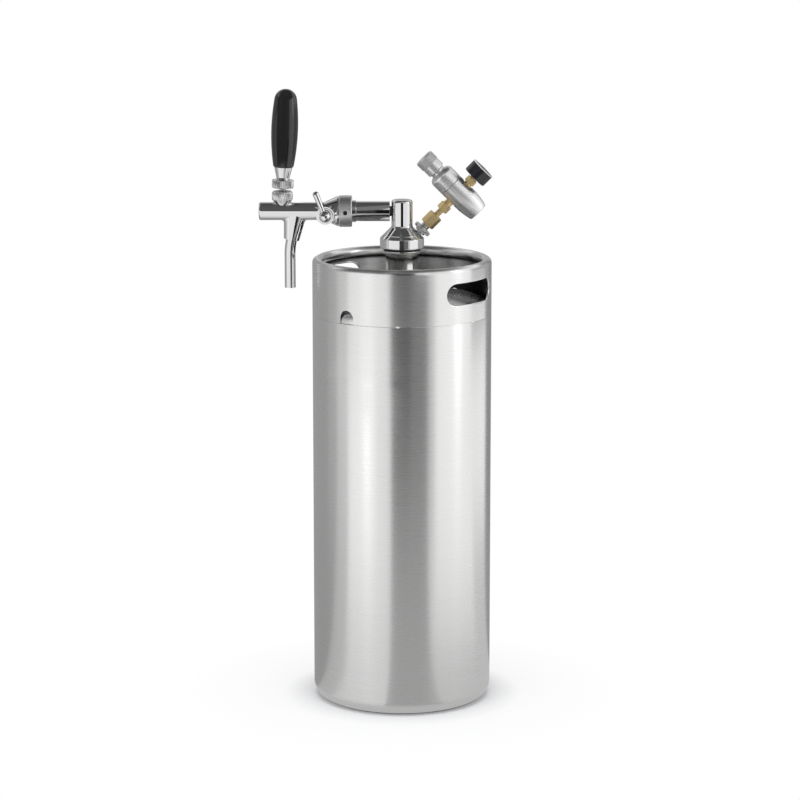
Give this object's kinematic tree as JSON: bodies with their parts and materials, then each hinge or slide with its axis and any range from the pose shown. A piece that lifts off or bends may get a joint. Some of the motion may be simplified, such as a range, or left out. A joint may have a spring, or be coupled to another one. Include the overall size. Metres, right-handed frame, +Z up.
{
  "type": "pressurized growler",
  "caption": "Stainless mini keg with a screw-on tap head: lever beer faucet with flow control and spout, and an angled mini CO2 regulator with knob and gauge.",
  "frame": {"origin": "on the keg's axis, on the surface that the keg stands on", "axes": "+Z up along the keg's axis, -X along the tap towards its nose, +X towards the regulator"},
  "size_m": [0.2332, 0.18, 0.6206],
  "materials": {
    "keg_steel": "satin, circumferential grain",
    "neck_steel": "turned",
    "chrome": "polished",
    "matte_steel": "matt, blasted",
    "inner_steel": "turned",
    "black_rubber": "matt",
    "white_plastic": "smooth",
    "grip_plastic": "glossy",
    "brass": "turned",
    "satin_aluminium": "satin",
    "gauge_black": "satin black",
    "dial_white": "matt white",
    "needle_black": "matt black",
    "gauge_glass": "clear"
  },
  "bodies": {
    "keg": {"keg_wall": "keg_steel", "keg_bottom": "keg_steel", "keg_shoulder": "keg_steel", "neck": "neck_steel", "neck_ring": "black_rubber", "top_ring": "keg_steel"},
    "head": {"head_body": "chrome", "neck_gasket": "black_rubber", "dip_tube": "inner_steel", "dip_tube_seal": "black_rubber", "shank": "chrome", "shank_seal": "black_rubber", "coupling_nut": "matte_steel", "coupling_washer": "black_rubber", "faucet_body": "chrome", "spout_tube": "chrome", "friction_ring": "white_plastic", "bonnet_nut": "chrome", "flow_gland": "chrome", "flow_seal": "black_rubber", "gas_inlet": "chrome", "gas_washer": "white_plastic", "gas_nut": "brass", "gas_nipple": "brass", "regulator_body": "satin_aluminium", "regulator_bonnet": "satin_aluminium", "piercing_pin": "inner_steel", "cartridge_seal": "white_plastic", "main_spring": "inner_steel", "gauge_stem": "brass", "gauge_case": "gauge_black", "gauge_movement": "brass", "gauge_dial": "dial_white", "gauge_lens": "gauge_glass"},
    "collar": {"screw_collar": "chrome"},
    "tap_handle": {"lever": "inner_steel", "lock_nut": "chrome", "ferrule": "chrome", "grip": "grip_plastic"},
    "valve": {"valve_shaft": "inner_steel", "valve_seal": "black_rubber", "seal_nut": "inner_steel"},
    "flow_handle": {"flow_spindle": "chrome", "flow_lever": "chrome"},
    "throttle": {"flow_cone": "inner_steel"},
    "adjuster": {"spring_seat": "inner_steel"},
    "knob": {"knob": "satin_aluminium", "adjust_screw": "inner_steel"},
    "piston_unit": {"piston": "brass", "piston_seal": "black_rubber", "valve_poppet": "brass"},
    "pointer": {"gauge_needle": "needle_black"}
  },
  "joints": [
    {"name": "head_lift", "type": "slide", "parent": "keg", "child": "head", "axis": [0, 0, 1], "range_m": [0, 0.46]},
    {"name": "collar_turn", "type": "hinge", "parent": "head", "child": "collar", "pos_m": [0, 0, 0.468], "axis": [0, 0, 1], "continuous": true},
    {"name": "tap_swing", "type": "hinge", "parent": "head", "child": "tap_handle", "pos_m": [-0.1195, 0, 0.513], "axis": [0, -1, 0], "range_deg": [0, 22]},
    {"name": "valve_slide", "type": "slide", "parent": "head", "child": "valve", "axis": [1, 0, 0], "range_m": [0, 0.00547]},
    {"name": "flow_turn", "type": "hinge", "parent": "head", "child": "flow_handle", "pos_m": [-0.0765, 0, 0.4955], "axis": [0, -1, 0], "range_deg": [-45, 45]},
    {"name": "cone_slide", "type": "slide", "parent": "head", "child": "throttle", "axis": [-1, 0, 0], "range_m": [-0.00113, 0.00113]},
    {"name": "adjuster_travel", "type": "slide", "parent": "head", "child": "adjuster", "axis": [0.7071, 0, -0.7071], "range_m": [-0.002, 0.001], "deforming": ["main_spring"]},
    {"name": "knob_turn", "type": "hinge", "parent": "adjuster", "child": "knob", "pos_m": [0.05665, 0, 0.51695], "axis": [0.7071, 0, -0.7071], "range_deg": [-720.5, 360.5]},
    {"name": "piston_stroke", "type": "slide", "parent": "head", "child": "piston_unit", "axis": [-0.7071, 0, 0.7071], "range_m": [0, 0.0006], "stiffness_N_per_m": 2000, "springref_m": -0.001, "deforming": ["main_spring"]},
    {"name": "needle_turn", "type": "hinge", "parent": "head", "child": "pointer", "pos_m": [0.07921, 0, 0.53951], "axis": [-0.7071, 0, -0.7071], "range_deg": [0, 270]}
  ],
  "couplings": [
    {"joint": "valve_slide", "follows": "tap_swing", "m_per_rad": 0.014249},
    {"joint": "cone_slide", "follows": "flow_turn", "m_per_rad": 0.0014405},
    {"joint": "knob_turn", "follows": "adjuster_travel", "rad_per_m": 6283.2}
  ]
}
